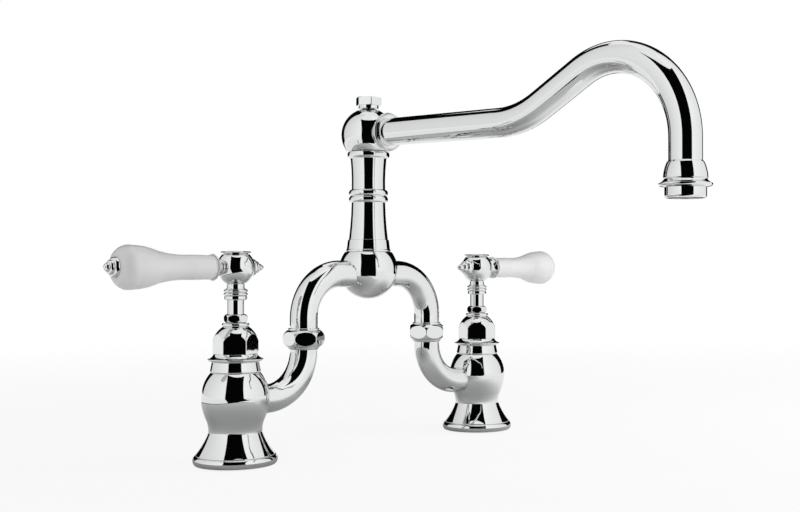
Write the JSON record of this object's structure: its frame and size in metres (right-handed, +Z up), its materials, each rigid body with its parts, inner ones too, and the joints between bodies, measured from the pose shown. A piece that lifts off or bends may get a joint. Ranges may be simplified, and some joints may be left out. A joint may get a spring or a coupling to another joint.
{
  "type": "bridge kitchen faucet",
  "caption": "Bridge kitchen faucet: valve columns with flared feet, porcelain lever handles, a raised bridge with unions, and a long swivel spout that crooks over to an outlet bell.",
  "frame": {"origin": "on the deck, midway between the two inlet holes", "axes": "+X towards the right-hand valve, -Y out along the spout towards the user, +Z up"},
  "size_m": [0.3698, 0.2852, 0.2366],
  "materials": {
    "polished_chrome": "polished",
    "white_porcelain": "gloss",
    "turned_brass": "satin",
    "steel_rod": "satin",
    "alumina_ceramic": "satin",
    "black_rubber": "matte",
    "white_acetal": "satin"
  },
  "bodies": {
    "bridge": {"base_gaskets": "black_rubber", "body_collars": "polished_chrome", "dish_washers": "polished_chrome", "fixed_discs": "alumina_ceramic", "seat_seals": "black_rubber", "union_seals": "black_rubber", "bridge_ball": "polished_chrome", "pillar_collar": "polished_chrome", "pillar": "polished_chrome", "swivel_ring": "polished_chrome", "swivel_post": "turned_brass", "swivel_seals": "black_rubber", "finial_screw": "polished_chrome", "left_valve_body": "polished_chrome", "left_bonnet_nut": "polished_chrome", "left_gland_nut": "polished_chrome", "left_cartridge_housing": "turned_brass", "left_lower_elbow": "polished_chrome", "left_upper_elbow": "polished_chrome", "left_union_nut": "polished_chrome", "right_valve_body": "polished_chrome", "right_bonnet_nut": "polished_chrome", "right_gland_nut": "polished_chrome", "right_cartridge_housing": "turned_brass", "right_lower_elbow": "polished_chrome", "right_upper_elbow": "polished_chrome", "right_union_nut": "polished_chrome"},
    "spout": {"spout_hub": "polished_chrome", "swivel_bush": "white_acetal", "spout_collar": "polished_chrome", "spout_tube": "polished_chrome", "outlet_bell": "polished_chrome", "outlet_seal": "black_rubber", "aerator_shell": "polished_chrome", "aerator_insert": "white_acetal"},
    "left_handle": {"left_moving_disc": "alumina_ceramic", "left_spindle": "polished_chrome", "left_spindle_seals": "black_rubber", "left_stem_collar": "polished_chrome", "left_handle_hub": "polished_chrome", "left_handle_cap": "polished_chrome", "left_handle_screw": "steel_rod", "left_hub_finial": "polished_chrome", "left_lever_ferrule": "polished_chrome", "left_lever_grip": "white_porcelain", "left_lever_rod": "steel_rod", "left_lever_end_finial": "polished_chrome"},
    "right_handle": {"right_moving_disc": "alumina_ceramic", "right_spindle": "polished_chrome", "right_spindle_seals": "black_rubber", "right_stem_collar": "polished_chrome", "right_handle_hub": "polished_chrome", "right_handle_cap": "polished_chrome", "right_handle_screw": "steel_rod", "right_hub_finial": "polished_chrome", "right_lever_ferrule": "polished_chrome", "right_lever_grip": "white_porcelain", "right_lever_rod": "steel_rod", "right_lever_end_finial": "polished_chrome"}
  },
  "joints": [
    {"name": "left_handle_turn", "type": "hinge", "parent": "bridge", "child": "left_handle", "pos_m": [-0.1016, 0, 0], "axis": [0, 0, 1], "range_deg": [0, 90]},
    {"name": "right_handle_turn", "type": "hinge", "parent": "bridge", "child": "right_handle", "pos_m": [0.1016, 0, 0], "axis": [0, 0, 1], "range_deg": [-90, 0]},
    {"name": "spout_swivel", "type": "hinge", "parent": "bridge", "child": "spout", "pos_m": [0, 0, 0], "axis": [0, 0, 1], "continuous": true}
  ]
}
